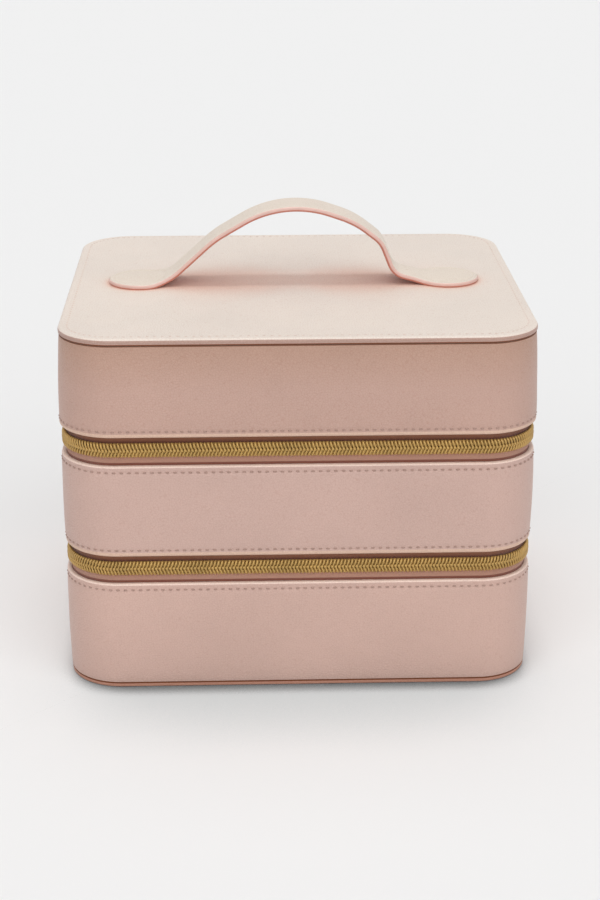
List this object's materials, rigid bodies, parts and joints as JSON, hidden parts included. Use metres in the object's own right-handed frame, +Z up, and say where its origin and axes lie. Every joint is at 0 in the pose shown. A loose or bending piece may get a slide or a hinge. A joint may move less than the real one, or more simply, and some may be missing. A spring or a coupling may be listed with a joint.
{
  "type": "makeup storage case with handle",
  "caption": "Zipped make-up case of stacked trays with a mirrored lid, round upright corners, gold coil zips with sliders, leather hinges and a strap handle.",
  "frame": {"origin": "middle of the underside of the base panel, on the surface that the case stands on", "axes": "+Z up, the front faces -Y, the hinges are at +Y, +X is the side with the zip sliders"},
  "size_m": [0.2468, 0.213, 0.2301],
  "materials": {
    "cover_leather": "fine pebbled, semi-matt",
    "panel_leather": "fine pebbled, semi-matt",
    "handle_leather": "smooth, painted edge",
    "hinge_leather": "fine pebbled, soft",
    "suede_lining": "short nap",
    "fibre_board": "pressed grey board",
    "zip_tape": "woven twill",
    "zip_gold": "polished gold finish",
    "mirror_glass": "silvered",
    "rivet_metal": "polished gold finish"
  },
  "bodies": {
    "base": {"base_panel": "cover_leather", "base_cover": "cover_leather", "base_board": "fibre_board", "base_floor": "suede_lining", "base_lining": "suede_lining", "long_divider": "suede_lining", "cross_dividers": "suede_lining", "base_zip_lower_tape": "zip_tape", "base_zip_lower_coil": "zip_gold", "base_zip_lower_stops": "zip_gold", "base_hinge_strip": "hinge_leather"},
    "middle": {"middle_cover": "cover_leather", "middle_board": "fibre_board", "middle_floor": "suede_lining", "middle_lining": "suede_lining", "base_zip_upper_tape": "zip_tape", "base_zip_upper_coil": "zip_gold", "base_zip_upper_stops": "zip_gold", "lid_zip_lower_tape": "zip_tape", "lid_zip_lower_coil": "zip_gold", "lid_zip_lower_stops": "zip_gold", "lid_hinge_strip": "hinge_leather"},
    "lid": {"top_panel": "panel_leather", "lid_cover": "cover_leather", "lid_board": "fibre_board", "lid_ceiling": "suede_lining", "lid_lining": "suede_lining", "mirror": "mirror_glass", "mirror_frame": "suede_lining", "handle": "handle_leather", "handle_rivets": "rivet_metal", "lid_zip_upper_tape": "zip_tape", "lid_zip_upper_coil": "zip_gold", "lid_zip_upper_stops": "zip_gold"},
    "base_slider": {"base_zip_slider": "zip_gold"},
    "base_pull": {"base_zip_pull": "zip_gold"},
    "lid_slider": {"lid_zip_slider": "zip_gold"},
    "lid_pull": {"lid_zip_pull": "zip_gold"}
  },
  "joints": [
    {"name": "middle_hinge", "type": "hinge", "parent": "base", "child": "middle", "pos_m": [0, 0.1038, 0.066], "axis": [-1, 0, 0], "range_deg": [0, 75], "deforming": ["base_hinge_strip"]},
    {"name": "lid_hinge", "type": "hinge", "parent": "middle", "child": "lid", "pos_m": [0, 0.1038, 0.1295], "axis": [-1, 0, 0], "range_deg": [0, 100], "deforming": ["lid_hinge_strip"]},
    {"name": "base_zip_run", "type": "slide", "parent": "base", "child": "base_slider", "axis": [0, -1, 0], "range_m": [0, 0.13], "deforming": ["base_zip_lower_coil", "base_zip_upper_coil", "base_zip_lower_tape", "base_zip_upper_tape"]},
    {"name": "lid_zip_run", "type": "slide", "parent": "middle", "child": "lid_slider", "axis": [0, -1, 0], "range_m": [0, 0.13], "deforming": ["lid_zip_lower_coil", "lid_zip_upper_coil", "lid_zip_lower_tape", "lid_zip_upper_tape"]},
    {"name": "base_pull_swing", "type": "hinge", "parent": "base_slider", "child": "base_pull", "pos_m": [0.1239, 0.068, 0.066], "axis": [0, -1, 0], "range_deg": [0, 170]},
    {"name": "lid_pull_swing", "type": "hinge", "parent": "lid_slider", "child": "lid_pull", "pos_m": [0.1239, 0.068, 0.1295], "axis": [0, -1, 0], "range_deg": [0, 170]}
  ]
}
